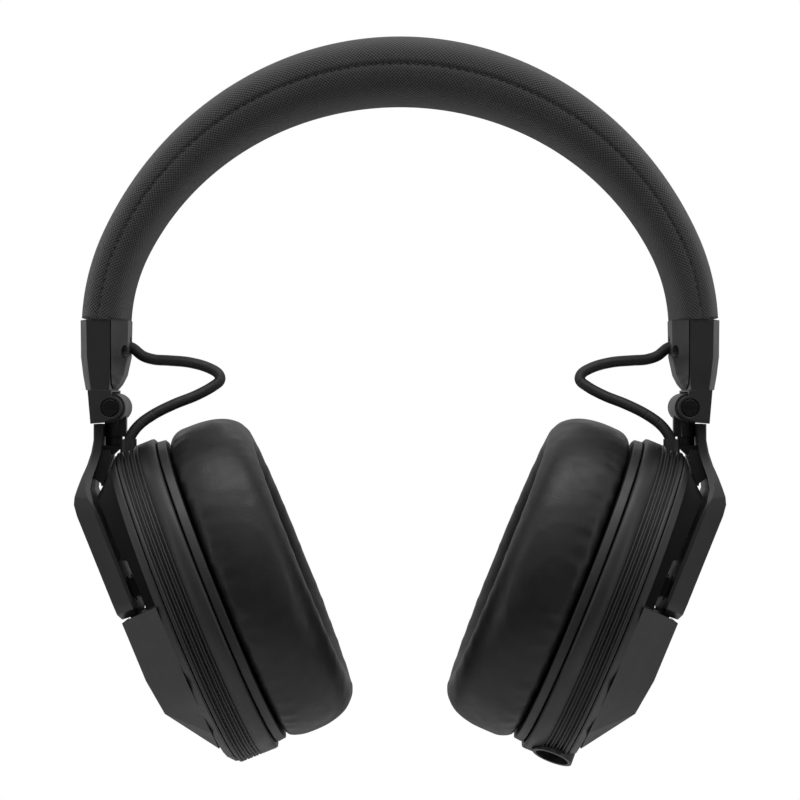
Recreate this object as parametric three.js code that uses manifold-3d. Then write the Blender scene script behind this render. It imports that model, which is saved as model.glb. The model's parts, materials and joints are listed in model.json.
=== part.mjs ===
// Over ear headphones: a padded headband with two folding, swivelling, tilting ear cups.
// Millimetres, +Z up. The origin is the middle of the headband's underside, where a head meets it.
// The wearer faces -Y, so the wearer's left ear cup is on the +X side.
import * as THREE from "three";
import { ConvexGeometry } from "three/addons/geometries/ConvexGeometry.js";
import { mergeVertices } from "three/addons/utils/BufferGeometryUtils.js";
import Module from "manifold-3d";

const wasm = await Module();
wasm.setup();

// General
const GAP = 0.3; // between pieces that touch
const RUNNING = 0.3; // round a pin that turns
const FAR = 300; // past every piece, for cuts that go right through

// Headband
const ARC_RADIUS = 84.4; // middle of the band's thickness
const CROWN_THICKNESS = 19;
const END_THICKNESS = 13.2;
const BAND_DEPTH = 34; // front to back
const BAND_END_TUCK = 1.575; // how far the band's ends pull in from the arc
const BAND_END_Z = -59.6;
const SPRING_THICKNESS = 1;
const SPRING_WIDTH = 20;
const SPRING_SHORT = 8.4; // degrees that the spring stops before the band's end

// Where the band's ends are
const ARC_Z = CROWN_THICKNESS / 2 - ARC_RADIUS;
const END_RADIUS = ARC_RADIUS - BAND_END_TUCK;
const BAND_END_X = Math.sqrt(END_RADIUS ** 2 - (BAND_END_Z - ARC_Z) ** 2);
const END_ANGLE = THREE.MathUtils.radToDeg(Math.asin(BAND_END_X / END_RADIUS));

// End cap, slide rail and slider
const CAP_HEIGHT = 19;
const CAP_DEPTH = 33;
const CAP_OUTER_X = BAND_END_X + 6.6;
const CAP_INNER_X = BAND_END_X - 6.5;
const CAP_SPLIT_X = CAP_INNER_X + 4.1;
const CAP_BOTTOM_Z = BAND_END_Z - GAP - CAP_HEIGHT;
const SLIDE_X = BAND_END_X; // middle of the slider bar where it leaves the cap
const SLIDE_LEAN = 3; // degrees from vertical
const SLIDE_TRAVEL = 20;
const BAR_WIDTH = 12;
const BAR_THICKNESS = 1.2;
const BAR_HOLD = 3.8; // length of bar left in the rail when it is all the way out
const RAIL_WALL = 0.8;
const NECK_HEIGHT = 5.6;
const NECK_WIDTH = 17.6;
const NECK_THICKNESS = 4.6;
const NOTCH_COUNT = 5;
const NOTCH_RADIUS = 0.7;

// Fold hinge
const FOLD_X = SLIDE_X - 2.1;
const FOLD_Z = CAP_BOTTOM_Z - 4.8;
const EAR_RADIUS = 3.3;
const EAR_THICKNESS = 3;
const BARREL_RADIUS = 4;
const BARREL_WIDTH = 23.4;
const PIN_RADIUS = 1.5;
const PIN_HEAD_RADIUS = 2.3;
const BLOCK_HEIGHT = 8.7;

// Swivel
const SWIVEL_X = FOLD_X + 0.1;
const SWIVEL_NECK_RADIUS = 2.65;
const NECK_RIB_WIDTH = 4.2;
const NECK_RIB_REACH = 3.5; // inboard of the swivel axis
const SWIVEL_PIN_RADIUS = 1;
const COLLAR_RADIUS = 2.4;
const COLLAR_TOP_Z = FOLD_Z - BARREL_RADIUS - 4.4;
const COLLAR_HEIGHT = 1.8;
const PIN_IN_KNUCKLE = 2.2;
const PIN_IN_ARM = 0.7;

// Yoke arm
const ARM_TOP_Z = CAP_BOTTOM_Z - BLOCK_HEIGHT - 3 * GAP;
const BRACKET_WIDTH = 5;
const GUSSET_WIDTH = 12;
const ARM_WIDTH = 31.6;
const ARM_FACE_WIDTH = 20;
const ARM_THICKNESS = 6.3;
const ARM_PROUD = 0.5; // how far the arm's face stands out past the housing

// Ear cup: its own frame has x outward, y back, z up along the cup
const CUP_LEAN = 22; // degrees
const CUP_HEIGHT = 92.3;
const CUP_WIDTH = 77;
const HOUSING_DEPTH = 13.3;
const HOUSING_WALL = 2.2;
const RING_DEPTH = 11.3;
const RING_WALL = 2.6;
const RING_START = -2;
const GROOVE_DEPTH = 0.8;
const FLANGE_THICKNESS = 2.6;
const FLANGE_INSET = 1.3;
const FLANGE_WIDTH = 11.5;
const CLOTH_THICKNESS = 0.9;
const PAD_THICKNESS = 23;
const PAD_INSET = 0.4; // inside the cup's outline
const PAD_HOLE_HEIGHT = 58;
const PAD_HOLE_WIDTH = 41;
const DRIVER_RADIUS = 20;
const DRIVER_OPENING = 17;
const MAGNET_RADIUS = 11.5;

// Tilt hinge, in the cup's frame
const TILT_OUT = HOUSING_DEPTH + ARM_PROUD - ARM_THICKNESS + 2;
const TILT_UP = 10;
const TILT_PIN_RADIUS = 1.2;
const LUG_RADIUS = 2.6;
const LUG_THICKNESS = 2.6;
const LUG_SPACING = 13; // middle to middle

// Cables
const CABLE_DIAMETER = 3;
const GLAND_RADIUS = 2.5;
const SOCKET_RADIUS = 5.7;
const SOCKET_BORE = 4.7;
const SOCKET_LENGTH = 8;
const SOCKET_FLOOR = 1.6;
const SOCKET_LEAN = 19; // degrees forward
const JACK_RADIUS = 1.75;

const BLACK = 0x17181a;
const rad = THREE.MathUtils.degToRad;
const half = (size) => size / 2;
const v3 = (x, y, z) => new THREE.Vector3(x, y, z);

const finish = (roughness, metalness = 0, colour = BLACK) =>
  new THREE.MeshStandardMaterial({ color: colour, roughness, metalness });
const finishes = {
  moulding: () => finish(0.42),
  weave: () => finish(0.9, 0, 0x222325),
  hide: () => finish(0.45, 0, 0x131314),
  steel: () => finish(0.35, 1, 0x9a9c9f),
  darkSteel: () => finish(0.4, 0.9, 0x2c2d30),
  soft: () => finish(0.6, 0, 0x1b1c1e),
  film: () => finish(0.3, 0, 0xb9bcc0),
  board: () => finish(0.5, 0, 0x1d4a2c),
};

// ---- Solids ----

// A closed geometry as a manifold solid.
function solid(geometry) {
  const bare = geometry.clone();
  bare.deleteAttribute("normal");
  bare.deleteAttribute("uv");
  const merged = mergeVertices(bare, 1e-4);
  return new wasm.Manifold(
    new wasm.Mesh({
      numProp: 3,
      vertProperties: new Float32Array(merged.attributes.position.array),
      triVerts: new Uint32Array(merged.index.array),
    }),
  );
}

// A manifold solid as a geometry.
function geometryOf(body) {
  const mesh = body.getMesh();
  const geometry = new THREE.BufferGeometry();
  geometry.setAttribute("position", new THREE.BufferAttribute(mesh.vertProperties, 3));
  geometry.setIndex(new THREE.BufferAttribute(mesh.triVerts, 1));
  return geometry;
}

// The first geometry with the others cut out of it.
const cut = (body, ...tools) =>
  geometryOf(tools.reduce((left, tool) => left.subtract(solid(tool)), solid(body)));

const join = (body, ...others) =>
  geometryOf(others.reduce((sum, other) => sum.add(solid(other)), solid(body)));

const common = (body, other) => geometryOf(solid(body).intersect(solid(other)));

// A box from its lowest to its highest corner.
function block(x0, x1, y0, y1, z0, z1) {
  const geometry = new THREE.BoxGeometry(x1 - x0, y1 - y0, z1 - z0);
  return geometry.translate(half(x0 + x1), half(y0 + y1), half(z0 + z1));
}

// A cylinder along Y, centred at (x, z), from y0 to y1.
function cylinderY(radius, x, z, y0, y1, sides = 24) {
  const geometry = new THREE.CylinderGeometry(radius, radius, y1 - y0, sides);
  return geometry.translate(x, half(y0 + y1), z);
}

// A cylinder along Z, centred at (x, y), from z0 to z1.
function cylinderZ(radius, x, y, z0, z1, sides = 24) {
  const geometry = new THREE.CylinderGeometry(radius, radius, z1 - z0, sides);
  return geometry.rotateX(Math.PI / 2).translate(x, y, half(z0 + z1));
}

// A cylinder along X, centred at (y, z), from x0 to x1.
function cylinderX(radius, y, z, x0, x1, sides = 24) {
  const geometry = new THREE.CylinderGeometry(radius, radius, x1 - x0, sides);
  return geometry.rotateZ(Math.PI / 2).translate(half(x0 + x1), y, z);
}

// An outline of [x, z] points, drawn as seen from the front, made `width` thick about y = 0.
function plate(points, width) {
  const shape = new THREE.Shape(points.map(([x, z]) => new THREE.Vector2(x, z)));
  const geometry = new THREE.ExtrudeGeometry(shape, { depth: width, bevelEnabled: false });
  return geometry.translate(0, 0, -half(width)).rotateX(Math.PI / 2);
}

// The convex body round some points, and their mirror images in y.
function hull(points) {
  return new ConvexGeometry(points.flatMap(([x, y, z]) => [v3(x, y, z), v3(x, -y, z)]));
}

// A closed body through rings of the same number of points, with a fan over each end.
function loft(rings) {
  const count = rings[0].length;
  const middles = [rings[0], rings.at(-1)].map((ring) =>
    ring.reduce((sum, p) => sum.add(p), v3(0, 0, 0)).divideScalar(count),
  );
  const points = [...rings.flat(), ...middles];
  const first = points.length - 2;
  const faces = [];
  for (let j = 0; j < count; j++) {
    const k = (j + 1) % count;
    for (let i = 0; i < rings.length - 1; i++) {
      const a = i * count + j;
      const b = i * count + k;
      faces.push(a, b, b + count, a, b + count, a + count);
    }
    const end = (rings.length - 1) * count;
    faces.push(first, k, j, first + 1, end + j, end + k);
  }
  return facingOut(points, faces);
}

// A closed ring-shaped body: rings of points round a loop that meets itself.
function loop(rings) {
  const count = rings[0].length;
  const faces = [];
  for (let i = 0; i < rings.length; i++) {
    const next = ((i + 1) % rings.length) * count;
    for (let j = 0; j < count; j++) {
      const k = (j + 1) % count;
      faces.push(i * count + j, i * count + k, next + k);
      faces.push(i * count + j, next + k, next + j);
    }
  }
  return facingOut(rings.flat(), faces);
}

// A geometry from points and faces, turned round if it faces inward.
function facingOut(points, faces) {
  let volume = 0;
  for (let i = 0; i < faces.length; i += 3) {
    const [a, b, c] = [0, 1, 2].map((k) => points[faces[i + k]]);
    volume += a.dot(b.clone().cross(c));
  }
  const geometry = new THREE.BufferGeometry().setFromPoints(points);
  geometry.setIndex(volume < 0 ? faces.toReversed() : faces);
  return geometry;
}

// A point of the cup's oval, `inset` inside its outline, at distance x outward.
function ovalPoint(angle, x, height, width, inset = 0) {
  const y = (half(width) - inset) * Math.sin(angle);
  const z = (half(height) - inset) * Math.cos(angle);
  return v3(x, y, z);
}

// An oval plate between two distances outward.
function ovalPlate(height, width, x0, x1, sides = 36) {
  const ring = (x) =>
    Array.from({ length: sides }, (_, i) =>
      ovalPoint((2 * Math.PI * i) / sides, x, height, width),
    );
  return loft([ring(x0), ring(x1)]);
}

// A closed profile of [x, inset] points carried round the oval.
function ovalRing(height, width, profile, sides = 36) {
  const rings = Array.from({ length: sides }, (_, i) =>
    profile.map(([x, inset]) =>
      ovalPoint((2 * Math.PI * i) / sides, x, height, width, inset),
    ),
  );
  return loop(rings);
}

// ---- The object ----

const headphones = new THREE.Group();

function add(parent, name, geometry, material) {
  const mesh = new THREE.Mesh(geometry, material);
  mesh.name = name;
  parent.add(mesh);
}

// ---- Headband ----

const THINNING = 1.2; // the band is at its end thickness at 90 / 1.2 degrees
const TUCK_SPAN = 15; // degrees

function bandThickness(degrees) {
  const rise = Math.cos(rad(degrees * THINNING)) ** 2;
  return END_THICKNESS + (CROWN_THICKNESS - END_THICKNESS) * rise;
}

function bandRadius(degrees) {
  const past = Math.max(0, Math.abs(degrees) - END_ANGLE + TUCK_SPAN) / TUCK_SPAN;
  return ARC_RADIUS - BAND_END_TUCK * past * past;
}

function bandPoint(degrees, radius, y) {
  return v3(radius * Math.sin(rad(degrees)), y, ARC_Z + radius * Math.cos(rad(degrees)));
}

// One rounded half of the padding: side 1 is above the spring, side -1 below it.
function bandPad(side) {
  const steps = 26;
  const reach = END_ANGLE + 4.6;
  const across = 8;
  const roundness = 2 / 2.6;
  const rings = Array.from({ length: steps + 1 }, (_, i) => {
    const degrees = -reach + (2 * reach * i) / steps;
    const base = half(SPRING_THICKNESS) + GAP;
    const height = half(bandThickness(degrees)) - base;
    return Array.from({ length: across + 1 }, (_, j) => {
      const turn = (Math.PI * j) / across;
      const rise = Math.max(0, Math.sin(turn)) ** roundness;
      const spread = Math.sign(Math.cos(turn)) * Math.abs(Math.cos(turn)) ** roundness;
      const radius = bandRadius(degrees) + side * (base + height * rise);
      return bandPoint(degrees, radius, half(BAND_DEPTH) * spread);
    });
  });
  const below = block(-FAR, FAR, -FAR, FAR, -FAR, BAND_END_Z);
  return cut(loft(rings), below, railSpace(1), railSpace(-1));
}

// The steel strip inside the padding.
function bandSpring() {
  const steps = 24;
  const reach = END_ANGLE - SPRING_SHORT;
  const rings = Array.from({ length: steps + 1 }, (_, i) => {
    const degrees = -reach + (2 * reach * i) / steps;
    const y = half(SPRING_WIDTH);
    const low = bandRadius(degrees) - half(SPRING_THICKNESS);
    const high = low + SPRING_THICKNESS;
    return [
      bandPoint(degrees, low, -y),
      bandPoint(degrees, low, y),
      bandPoint(degrees, high, y),
      bandPoint(degrees, high, -y),
    ];
  });
  return cut(loft(rings), railSpace(1), railSpace(-1));
}

// ---- Slide: its frame starts where the bar leaves the cap, with z up along the slide ----

const RAIL_START = NECK_HEIGHT + 1;
const BAR_LENGTH = RAIL_START + SLIDE_TRAVEL + BAR_HOLD;
const RAIL_LENGTH = BAR_LENGTH - RAIL_START + 2.2;
const RAIL_SLOT = BAR_THICKNESS + 2 * GAP;
const RAIL_THICKNESS = RAIL_SLOT + 2 * RAIL_WALL;
const RAIL_WIDTH = BAR_WIDTH + 2 * GAP + 4 * RAIL_WALL;

// Puts a geometry drawn in the slide's frame where it belongs on the +X side.
const onSlide = (geometry) =>
  geometry.rotateY(rad(SLIDE_LEAN)).translate(SLIDE_X, 0, CAP_BOTTOM_Z);

// The room that a rail needs in the padding, on the +X side (1) or the -X side (-1).
function railSpace(side) {
  const x = half(RAIL_THICKNESS) + GAP;
  const y = half(RAIL_WIDTH) + GAP;
  const room = onSlide(block(-x, x, -y, y, 0, RAIL_START + RAIL_LENGTH + GAP));
  return side > 0 ? room : room.rotateZ(Math.PI);
}

function slideRail() {
  const [x, y] = [half(RAIL_THICKNESS), half(RAIL_WIDTH)];
  const body = block(-x, x, -y, y, RAIL_START, RAIL_START + RAIL_LENGTH);
  const [sx, sy] = [half(RAIL_SLOT), half(BAR_WIDTH) + GAP];
  return onSlide(cut(body, block(-sx, sx, -sy, sy, 0, 2 * BAR_LENGTH)));
}

function sliderBar() {
  const [x, y] = [half(BAR_THICKNESS), half(BAR_WIDTH)];
  const start = 1;
  const body = block(-x, x, -y, y, start, BAR_LENGTH);
  const pitch = SLIDE_TRAVEL / NOTCH_COUNT;
  const notches = Array.from({ length: NOTCH_COUNT }, (_, i) =>
    cylinderX(NOTCH_RADIUS, y, RAIL_START + BAR_HOLD + i * pitch, -1, 1, 12),
  );
  return onSlide(cut(body, ...notches));
}

// The neck on top of the hinge block, which the bar is set in.
function sliderNeck() {
  const [x, y] = [half(NECK_THICKNESS), half(NECK_WIDTH)];
  const socket = 0.7;
  const body = block(-x, x, -y, y, -0.6, NECK_HEIGHT);
  const [sx, sy] = [half(BAR_THICKNESS) + GAP, half(BAR_WIDTH) + GAP];
  return onSlide(cut(body, block(-sx, sx, -sy, sy, socket, 2 * NECK_HEIGHT)));
}

// ---- End cap ----

// The cap's whole outer form. Each level gives its height, then how far inside the cap's top edge
// it is: the outer side, the inner side, the facet's outer and inner edges, and the front.
function capForm() {
  const levels = [
    [0, 1.4, 4.1, 3.6, 4.6, 1.5],
    [1.7, 1.1, 2.5, 3.4, 4.4, 1.1],
    [4.1, 0.7, 1.3, 3.1, 4.2, 0.6],
    [9.2, 0.1, 0.2, 2.6, 4, 0.1],
    [CAP_HEIGHT, 0, 0, 2.4, 3.9, 0],
  ];
  const belly = 0.45; // share of the depth where the sides are at their widest
  const rings = levels.map(([up, outerIn, innerIn, facetOuterIn, facetInnerIn, frontIn]) => {
    const z = CAP_BOTTOM_Z + up;
    const depth = half(CAP_DEPTH) - frontIn;
    const [outer, facetOuter] = [CAP_OUTER_X - outerIn, CAP_OUTER_X - facetOuterIn];
    const [inner, facetInner] = [CAP_INNER_X + innerIn, CAP_INNER_X + facetInnerIn];
    return [
      v3(outer, -belly * depth, z),
      v3(outer, belly * depth, z),
      v3(facetOuter, depth, z),
      v3(facetInner, depth, z),
      v3(inner, belly * depth, z),
      v3(inner, -belly * depth, z),
      v3(facetInner, -depth, z),
      v3(facetOuter, -depth, z),
    ];
  });
  return loft(rings);
}

// The pocket in the cap's lower end that takes the block's neck.
function neckRoom() {
  const x = half(NECK_THICKNESS) + GAP;
  const y = half(NECK_WIDTH) + GAP;
  return onSlide(block(-x, x, -y, y, -4, NECK_HEIGHT + half(GAP)));
}

function capOuter() {
  const inboard = block(0, CAP_SPLIT_X + half(GAP), -FAR, FAR, -FAR, FAR);
  return cut(capForm(), inboard, railSpace(1), neckRoom());
}

const SCREW_HOLE_X = CAP_INNER_X + 3.1;
const CAP_SCREW = { y: -9, z: CAP_BOTTOM_Z + 10.6, radius: 1.5, head: 1.1, slot: 0.5 };
const CAP_GLAND = { y: 3, z: CAP_BOTTOM_Z + 12.3, length: 1.8 };
const GLAND_HOLE_X = CAP_INNER_X + 2.5;

function capInner() {
  const outboard = block(CAP_SPLIT_X - half(GAP), FAR, -FAR, FAR, -FAR, FAR);
  const hole = cylinderX(CAP_SCREW.radius + GAP, CAP_SCREW.y, CAP_SCREW.z, 0, SCREW_HOLE_X, 16);
  const bore = cylinderX(GLAND_RADIUS + GAP, CAP_GLAND.y, CAP_GLAND.z, 0, GLAND_HOLE_X, 16);
  return cut(capForm(), outboard, hole, bore, railSpace(1), neckRoom());
}

function capScrew() {
  const { y, z, radius, head, slot } = CAP_SCREW;
  const back = SCREW_HOLE_X - GAP;
  const body = cylinderX(radius, y, z, back - head, back, 16);
  const groove = block(0, back - head + 0.4, y - half(slot), y + half(slot), -FAR, FAR);
  return cut(body, groove);
}

// ---- Fold hinge ----

const BLOCK_OUT = 6.1; // from the fold axis to the block's outer face, at its top
const BLOCK_IN = 5.3; // and at its bottom

function foldBlock() {
  const top = CAP_BOTTOM_Z - GAP;
  const bottom = top - BLOCK_HEIGHT;
  const outline = [
    [FOLD_X - 0.4, top],
    [FOLD_X - 0.4, bottom + 1],
    [FOLD_X + 2, bottom + 0.1],
    [FOLD_X + BLOCK_IN, bottom - 0.2],
    [FOLD_X + BLOCK_OUT, top],
  ];
  const inner = half(BARREL_WIDTH) + GAP;
  const width = 2 * (inner + EAR_THICKNESS);
  const ears = cylinderY(EAR_RADIUS, FOLD_X, FOLD_Z, -half(width), half(width), 24);
  const room = cylinderY(BARREL_RADIUS + GAP, FOLD_X, FOLD_Z, -inner, inner, 24);
  const side = FOLD_X + BARREL_RADIUS + GAP;
  const below = block(0, side, -inner, inner, bottom - 4, FOLD_Z);
  const bore = cylinderY(PIN_RADIUS + GAP, FOLD_X, FOLD_Z, -FAR, FAR, 14);
  const sink = inner + half(EAR_THICKNESS);
  const frontSink = cylinderY(PIN_HEAD_RADIUS + GAP, FOLD_X, FOLD_Z, -FAR, -sink, 20);
  const backSink = cylinderY(PIN_HEAD_RADIUS + GAP, FOLD_X, FOLD_Z, sink, FAR, 20);
  const body = join(plate(outline, width), ears);
  const base = cut(body, room, below);
  return cut(join(base, sliderNeck()), room, bore, frontSink, backSink);
}

function foldPin() {
  const inner = half(BARREL_WIDTH) + GAP;
  const sink = inner + half(EAR_THICKNESS) + GAP;
  const end = inner + EAR_THICKNESS;
  const shaft = cylinderY(PIN_RADIUS, FOLD_X, FOLD_Z, -sink - 0.1, sink + 0.1, 14);
  const front = cylinderY(PIN_HEAD_RADIUS, FOLD_X, FOLD_Z, -end, -sink, 20);
  const back = cylinderY(PIN_HEAD_RADIUS, FOLD_X, FOLD_Z, sink, end, 20);
  return join(shaft, front, back);
}

function foldKnuckle() {
  const bottom = COLLAR_TOP_Z + GAP;
  const deep = bottom + PIN_IN_KNUCKLE + GAP;
  const barrel = cylinderY(
    BARREL_RADIUS, FOLD_X, FOLD_Z, -half(BARREL_WIDTH), half(BARREL_WIDTH), 28,
  );
  const round = cylinderZ(SWIVEL_NECK_RADIUS, SWIVEL_X, 0, bottom, FOLD_Z, 20);
  const y = half(NECK_RIB_WIDTH);
  const rib = block(SWIVEL_X - NECK_RIB_REACH, SWIVEL_X, -y, y, bottom, FOLD_Z);
  const neck = join(round, rib);
  const bore = cylinderY(PIN_RADIUS + RUNNING, FOLD_X, FOLD_Z, -FAR, FAR, 20);
  const well = cylinderZ(SWIVEL_PIN_RADIUS + GAP, SWIVEL_X, 0, bottom - 1, deep, 16);
  return cut(join(barrel, neck), bore, well);
}

// ---- Swivel ----

const COLLAR_BOTTOM_Z = COLLAR_TOP_Z - COLLAR_HEIGHT;
const BRACKET_TOP_Z = COLLAR_BOTTOM_Z - GAP;

function swivelCollar() {
  const ring = cylinderZ(COLLAR_RADIUS, SWIVEL_X, 0, COLLAR_BOTTOM_Z, COLLAR_TOP_Z);
  const bore = cylinderZ(SWIVEL_PIN_RADIUS + GAP, SWIVEL_X, 0, -FAR, FAR, 16);
  return cut(ring, bore);
}

function swivelPin() {
  const top = COLLAR_TOP_Z + GAP + PIN_IN_KNUCKLE;
  return cylinderZ(SWIVEL_PIN_RADIUS, SWIVEL_X, 0, BRACKET_TOP_Z - PIN_IN_ARM, top, 16);
}

// ---- Yoke arm ----

// The cup hangs by the top of its rim, so its middle follows its height.
const CUP_TOP = { x: SWIVEL_X + 1.088, z: COLLAR_TOP_Z - 5.111 };
const CUP_X = CUP_TOP.x - half(CUP_HEIGHT) * Math.sin(rad(CUP_LEAN));
const CUP_Z = CUP_TOP.z - half(CUP_HEIGHT) * Math.cos(rad(CUP_LEAN));

const cupTurn = new THREE.Matrix4()
  .makeTranslation(CUP_X, 0, CUP_Z)
  .multiply(new THREE.Matrix4().makeRotationY(rad(CUP_LEAN)));

// A point of the +X cup's frame, in the object's frame.
const fromCup = (x, y, z) => v3(x, y, z).applyMatrix4(cupTurn);

const ARM_FACE = HOUSING_DEPTH + ARM_PROUD;
const ARM_BACK = ARM_FACE - ARM_THICKNESS;

// One station of the arm: its face, the back of its slanted sides and its inner face, each an [x, z]
// point, with the arm's half width at its face and at its back.
const station = (face, faceWidth, side, inner, backWidth) => [
  v3(face.x, -faceWidth, face.z),
  v3(side.x, -backWidth, side.z),
  v3(inner.x, -backWidth, inner.z),
  v3(inner.x, backWidth, inner.z),
  v3(side.x, backWidth, side.z),
  v3(face.x, faceWidth, face.z),
];

function armBlade() {
  const [face, full] = [half(ARM_FACE_WIDTH), half(ARM_WIDTH)];
  const tip = TILT_UP - 7; // the arm ends this far up the cup
  const top = half(CUP_HEIGHT) - 8; // and bends towards the band here
  const edge = ARM_BACK + 1; // the slanted sides end here
  const above = (out, down) => v3(SWIVEL_X + out, 0, ARM_TOP_Z - down);
  // A station beside the cup: its face and its back are this far up the cup.
  const along = (up, backUp, inside, faceWidth, backWidth) =>
    station(
      fromCup(ARM_FACE - inside, 0, up), faceWidth,
      fromCup(edge, 0, backUp), fromCup(ARM_BACK + inside, 0, backUp), backWidth,
    );
  return loft([
    station(above(5, 0), face - 2.4, above(4.7, 0), above(2.3, 0), face - 1.8),
    station(above(5, 4.2), face - 2.2, above(4.7, 4.2), above(2.6, 4.2), face - 1.6),
    station(above(5.6, 7.6), face - 1.9, above(5.1, 7.6), above(2.9, 7.6), face - 1.2),
    station(above(6.7, 11), face - 1.6, above(5.8, 11), above(3.9, 11), face - 0.4),
    station(above(8.2, 14.4), face - 1.3, above(6.6, 14.4), above(5, 14.4), face + 1.4),
    station(above(9.4, 17.6), face - 1, above(6.7, 17.6), above(5.4, 17.6), full - 2.8),
    station(above(10.1, 19.8), face - 0.7, above(6, 20), above(4.7, 20), full - 1.6),
    along(top - 0.8, top - 2.6, 0.35, face - 0.5, full - 0.8),
    along(top - 4, top - 6.2, 0, face - 0.2, full),
    along(tip + 5, tip + 5, 0, face, full),
    along(tip + 1.8, tip + 1.8, 0, face - 0.8, full - 1.6),
    along(tip, tip - 0.2, 0.6, face - 3, full - 5),
  ]);
}

// The bracket that carries the swivel pin, and the wider gusset that runs down from it to the arm.
function armBracket() {
  const placed = (corners) =>
    corners.map(([out, down]) => [SWIVEL_X + out, BRACKET_TOP_Z - down]);
  const shelf = placed([
    [-COLLAR_RADIUS, 0],
    [3.6, 0],
    [4, 2.6],
    [0.1, 2.6],
    [-1.6, 1],
    [-COLLAR_RADIUS, 0.8],
  ]);
  const gusset = placed([
    [0.5, 1.2],
    [3.7, 1.2],
    [4.3, 4.5],
    [5.7, 8.4],
    [5, 9],
    [3.2, 10.4],
    [3, 11.2],
    [1.8, 9],
    [1.1, 5.5],
    [0.3, 3.1],
  ]);
  return join(plate(shelf, BRACKET_WIDTH), plate(gusset, GUSSET_WIDTH));
}

// A geometry drawn in the cup's frame, put in the object's frame on the +X side.
const onCup = (geometry) => geometry.applyMatrix4(cupTurn);

function yokeArm() {
  const lugRoom = LUG_RADIUS + 0.9;
  const y = half(LUG_SPACING);
  const w = half(LUG_THICKNESS) + GAP;
  const pocket = (side) =>
    onCup(
      block(
        0, TILT_OUT + LUG_RADIUS + GAP,
        side * y - w, side * y + w,
        TILT_UP - lugRoom, TILT_UP + lugRoom,
      ),
    );
  const reach = y + half(LUG_THICKNESS);
  const bore = onCup(
    cylinderY(TILT_PIN_RADIUS + GAP, TILT_OUT, TILT_UP, -reach - 1, reach + 1, 16),
  );
  const well = cylinderZ(SWIVEL_PIN_RADIUS + RUNNING, SWIVEL_X, 0, -FAR, FAR, 16);
  const neckRadius = SWIVEL_NECK_RADIUS + RUNNING;
  const neckGroove = cylinderZ(neckRadius, SWIVEL_X, 0, BRACKET_TOP_Z, FAR, 28);
  const blade = cut(armBlade(), neckGroove);
  return cut(join(blade, armBracket()), pocket(1), pocket(-1), bore, well);
}

function tiltPin() {
  const reach = half(LUG_SPACING) + half(LUG_THICKNESS);
  return cylinderY(TILT_PIN_RADIUS, TILT_OUT, TILT_UP, -reach - 0.5, reach + 0.5, 16);
}

// ---- Cup housing ----

const BASE_TOP = 0.6;
const BASE_BOTTOM = RING_START + GAP;
const BASE_SLOPE = 2.6; // how far the base's edge slopes in
const CORE_TOP = ARM_BACK - 0.9;
const CORE_FLOOR = CORE_TOP - 1.1; // of the room under the tilt hinge
const CORE_WIDTH = 23;

function housingShell() {
  const [y, z] = [half(CUP_WIDTH), half(CUP_HEIGHT)];
  const lower = hull([
    [HOUSING_DEPTH, 10.5, 2.5],
    [HOUSING_DEPTH, 8.8, -15],
    [HOUSING_DEPTH - 1.2, 6.5, 20.65 - z],
    [BASE_TOP, y - 1.9, 3.6],
    [BASE_TOP, y - 5.1, 27.55 - z],
    [BASE_TOP, y - 14.9, 12.15 - z],
    [BASE_TOP + 0.7, 12, 6.55 - z],
  ]);
  const upper = hull([
    [CORE_TOP, half(CORE_WIDTH), -4],
    [CORE_TOP, half(CORE_WIDTH), z - 10.4],
    [CORE_TOP, half(CORE_WIDTH) - 2, z - 9.15],
    [BASE_TOP - 0.4, half(CORE_WIDTH), -4],
    [BASE_TOP - 0.4, half(CORE_WIDTH), z - 5],
    [BASE_TOP - 0.4, half(CORE_WIDTH) - 2, z - 3.6],
  ]);
  const ring = (x, inset) =>
    Array.from({ length: 36 }, (_, i) =>
      ovalPoint((2 * Math.PI * i) / 36, x, CUP_HEIGHT, CUP_WIDTH, inset),
    );
  const base = loft([
    ring(BASE_BOTTOM, 0.5),
    ring(BASE_BOTTOM + 0.5, 0.6),
    ring(BASE_TOP, BASE_SLOPE),
  ]);
  return join(base, lower, upper);
}

function housingHollow() {
  const wall = HOUSING_WALL;
  const [y, z] = [half(CUP_WIDTH), half(CUP_HEIGHT)];
  const lower = hull([
    [HOUSING_DEPTH - wall, 8, -2],
    [HOUSING_DEPTH - wall, 6.5, -14.5],
    [HOUSING_DEPTH - wall - 1.2, 4.5, 23.15 - z],
    [BASE_BOTTOM - 1, y - 6.5, -2],
    [BASE_BOTTOM - 1, y - 9.5, 28.65 - z],
    [BASE_BOTTOM - 1, y - 18.5, 15.15 - z],
    [BASE_BOTTOM - 1, 9, 10.65 - z],
  ]);
  const upper = hull([
    [CORE_FLOOR - wall, half(CORE_WIDTH) - wall, -8],
    [CORE_FLOOR - wall, half(CORE_WIDTH) - wall, z - 15.15],
    [BASE_BOTTOM - 1, half(CORE_WIDTH) - wall, -8],
    [BASE_BOTTOM - 1, half(CORE_WIDTH) - wall, z - 12.15],
  ]);
  return join(lower, upper);
}

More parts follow.
